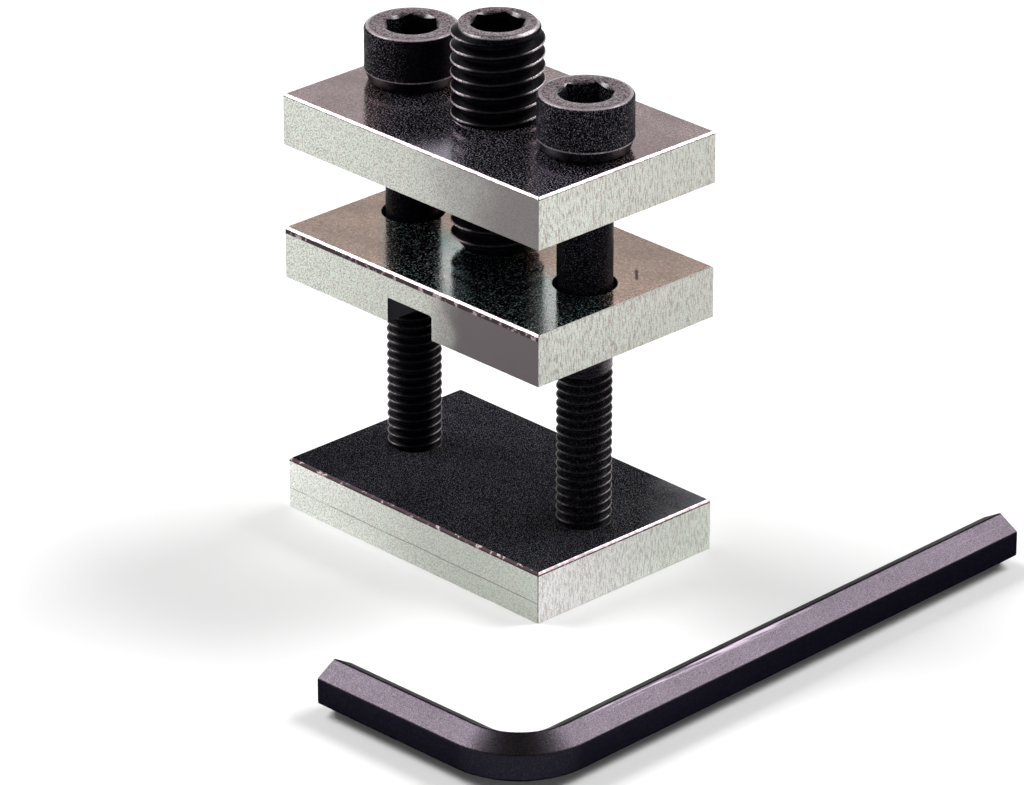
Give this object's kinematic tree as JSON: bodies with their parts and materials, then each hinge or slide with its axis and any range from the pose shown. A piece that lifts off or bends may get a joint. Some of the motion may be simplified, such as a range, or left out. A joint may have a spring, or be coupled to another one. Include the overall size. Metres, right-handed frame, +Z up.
{
  "type": "chain press tool",
  "caption": "Roller chain press: a grooved plate slides on cap screws between a base and a top plate, driven down by a central press screw turned with a hex key.",
  "frame": {"origin": "middle of the base plate's underside", "axes": "+Z up along the screws, +X along the plates' long side from the left to the right cap screw, +Y across the plates, away from the hex key's bend"},
  "size_m": [0.0659, 0.0759, 0.0581],
  "materials": {
    "plate_steel": "satin zinc-bright milled steel with bright broken edges",
    "screw_black": "black oxide, satin",
    "key_black": "black finish, satin, with a faint purple sheen"
  },
  "bodies": {
    "base": {"base_plate": "plate_steel"},
    "top_plate": {"top_plate": "plate_steel"},
    "left_cap_screw": {"left_cap_screw": "screw_black"},
    "right_cap_screw": {"right_cap_screw": "screw_black"},
    "press_plate": {"press_plate": "plate_steel"},
    "press_screw": {"press_screw": "screw_black"},
    "hex_key": {"hex_key": "key_black"}
  },
  "joints": [
    {"name": "top_plate_lift", "type": "slide", "parent": "base", "child": "top_plate", "axis": [0, 0, 1], "range_m": [0, 0.005]},
    {"name": "left_cap_screw_turn", "type": "hinge", "parent": "top_plate", "child": "left_cap_screw", "pos_m": [-0.013, 0, 0.048], "axis": [0, 0, 1], "range_deg": [0, 1800]},
    {"name": "right_cap_screw_turn", "type": "hinge", "parent": "top_plate", "child": "right_cap_screw", "pos_m": [0.013, 0, 0.048], "axis": [0, 0, 1], "range_deg": [0, 1800]},
    {"name": "press_plate_travel", "type": "slide", "parent": "top_plate", "child": "press_plate", "axis": [0, 0, 1], "range_m": [-0.01, 0.0085]},
    {"name": "press_screw_turn", "type": "hinge", "parent": "press_plate", "child": "press_screw", "pos_m": [0, 0, 0.0331], "axis": [0, 0, 1], "range_deg": [-2400, 2040]},
    {"name": "hex_key_lift", "type": "slide", "parent": "base", "child": "hex_key", "axis": [0, 0, 1], "range_m": [0, 0.08]}
  ],
  "couplings": [
    {"joint": "left_cap_screw_turn", "follows": "top_plate_lift", "rad_per_m": 6283.2},
    {"joint": "right_cap_screw_turn", "follows": "top_plate_lift", "rad_per_m": 6283.2},
    {"joint": "press_screw_turn", "follows": "press_plate_travel", "rad_per_m": 4188.8}
  ]
}
